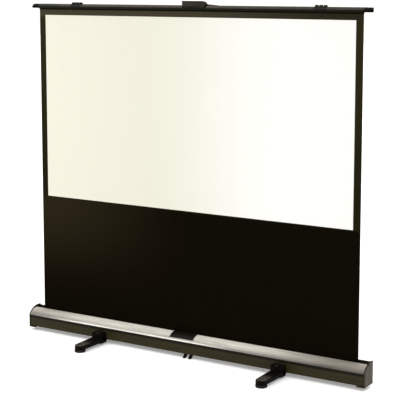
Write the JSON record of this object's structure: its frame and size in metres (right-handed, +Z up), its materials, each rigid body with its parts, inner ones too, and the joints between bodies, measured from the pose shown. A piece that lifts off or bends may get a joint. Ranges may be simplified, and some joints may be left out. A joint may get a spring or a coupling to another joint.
{
  "type": "floor-standing pull-up projection screen",
  "caption": "Portable projection screen that pulls up out of a floor case on crossed elbow arms, with a white field in a black border, a top bar with a handle and swing-out legs.",
  "frame": {"origin": "on the floor under the middle of the case", "axes": "+X along the case to the viewer's right, +Y to the rear, +Z up; the viewing surface faces -Y"},
  "size_m": [1.966, 0.512, 1.7696],
  "materials": {
    "case_paint": "satin dark paint",
    "cover_silver": "brushed",
    "cap_plastic": "fine texture",
    "badge_black": "gloss",
    "felt": "felt",
    "black_cloth": "matt woven",
    "white_surface": "matt white coat",
    "bar_paint": "satin dark paint",
    "link_paint": "satin black paint",
    "steel": "zinc plated",
    "saddle_paint": "textured black",
    "leg_plastic": "textured black",
    "pad_rubber": "matt"
  },
  "bodies": {
    "case": {"case_body": "case_paint", "front_cover": "cover_silver", "badge_plate": "badge_black", "front_slot_seal": "felt", "rear_slot_seal": "felt", "end_cap_left": "cap_plastic", "end_cap_right": "cap_plastic", "roller_bracket_left": "steel", "roller_bracket_right": "steel", "roller_bush": "cap_plastic", "spring_arbor": "steel", "torsion_spring": "steel", "spring_anchor": "cap_plastic", "masking_fabric": "black_cloth", "viewing_surface": "white_surface", "arm_bracket_left": "steel", "arm_bracket_right": "steel", "base_pivot_pins": "steel", "saddle_left": "saddle_paint", "saddle_right": "saddle_paint", "leg_pins": "steel", "centre_foot": "saddle_paint", "end_cap_screws": "steel"},
    "roller": {"roller_tube": "link_paint", "fabric_turns": "black_cloth", "roller_plug_left": "cap_plastic", "roller_plug_right": "cap_plastic"},
    "left_lower_link": {"lower_arm_left": "link_paint", "elbow_pin_left": "steel", "elbow_washer_left": "steel"},
    "left_upper_link": {"upper_arm_left": "link_paint"},
    "right_lower_link": {"lower_arm_right": "link_paint", "elbow_pin_right": "steel", "elbow_washer_right": "steel"},
    "right_upper_link": {"upper_arm_right": "link_paint"},
    "bar": {"top_bar": "bar_paint", "bar_cap_left": "cap_plastic", "bar_cap_right": "cap_plastic", "hem_batten": "bar_paint", "pull_handle": "cap_plastic", "bar_clamp_left": "cap_plastic", "bar_clamp_right": "cap_plastic", "arm_plate_left": "steel", "arm_plate_right": "steel", "bar_pivot_pins": "steel"},
    "front_left_leg_group": {"front_left_leg": "leg_plastic", "front_left_pad": "pad_rubber", "front_left_pad_screw": "steel"},
    "front_right_leg_group": {"front_right_leg": "leg_plastic", "front_right_pad": "pad_rubber", "front_right_pad_screw": "steel"},
    "rear_left_leg_group": {"rear_left_leg": "leg_plastic", "rear_left_pad": "pad_rubber", "rear_left_pad_screw": "steel"},
    "rear_right_leg_group": {"rear_right_leg": "leg_plastic", "rear_right_pad": "pad_rubber", "rear_right_pad_screw": "steel"}
  },
  "joints": [
    {"name": "left_lower_swing", "type": "hinge", "parent": "case", "child": "left_lower_link", "pos_m": [-0.684, 0.0278, 0.079], "axis": [0, 1, 0], "range_deg": [0, 30.14], "deforming": ["masking_fabric", "viewing_surface"]},
    {"name": "left_elbow", "type": "hinge", "parent": "left_lower_link", "child": "left_upper_link", "pos_m": [0.68539, 0.032, 0.9065], "axis": [0, 1, 0], "range_deg": [-60.29, 0]},
    {"name": "left_bar_pivot", "type": "hinge", "parent": "left_upper_link", "child": "bar", "pos_m": [-0.684, 0.0362, 1.734], "axis": [0, 1, 0], "range_deg": [0, 30.15]},
    {"name": "right_lower_swing", "type": "hinge", "parent": "case", "child": "right_lower_link", "pos_m": [0.706, 0.0362, 0.079], "axis": [0, 1, 0], "range_deg": [-30.15, 0]},
    {"name": "right_elbow", "type": "hinge", "parent": "right_lower_link", "child": "right_upper_link", "pos_m": [-0.66339, 0.032, 0.9065], "axis": [0, 1, 0], "range_deg": [0, 60.29]},
    {"name": "roller_spin", "type": "hinge", "parent": "case", "child": "roller", "pos_m": [0, -0.00475, 0.052], "axis": [1, 0, 0], "range_deg": [-5327.51, 0]},
    {"name": "front_left_leg_swing", "type": "hinge", "parent": "case", "child": "front_left_leg_group", "pos_m": [-0.503, -0.0797, 0.03], "axis": [0, 0, 1], "range_deg": [0, 90]},
    {"name": "front_right_leg_swing", "type": "hinge", "parent": "case", "child": "front_right_leg_group", "pos_m": [0.545, -0.0797, 0.03], "axis": [0, 0, -1], "range_deg": [0, 90]},
    {"name": "rear_left_leg_swing", "type": "hinge", "parent": "case", "child": "rear_left_leg_group", "pos_m": [-0.503, 0.0797, 0.03], "axis": [0, 0, -1], "range_deg": [0, 90]},
    {"name": "rear_right_leg_swing", "type": "hinge", "parent": "case", "child": "rear_right_leg_group", "pos_m": [0.545, 0.0797, 0.03], "axis": [0, 0, 1], "range_deg": [0, 90]}
  ],
  "couplings": [
    {"joint": "left_elbow", "follows": "left_lower_swing", "ratio": -2},
    {"joint": "left_bar_pivot", "follows": "left_lower_swing", "ratio": 1},
    {"joint": "right_lower_swing", "follows": "left_lower_swing", "ratio": -1},
    {"joint": "right_elbow", "follows": "left_lower_swing", "ratio": 2},
    {"joint": "roller_spin", "follows": "left_lower_swing", "ratio": -176.72}
  ]
}
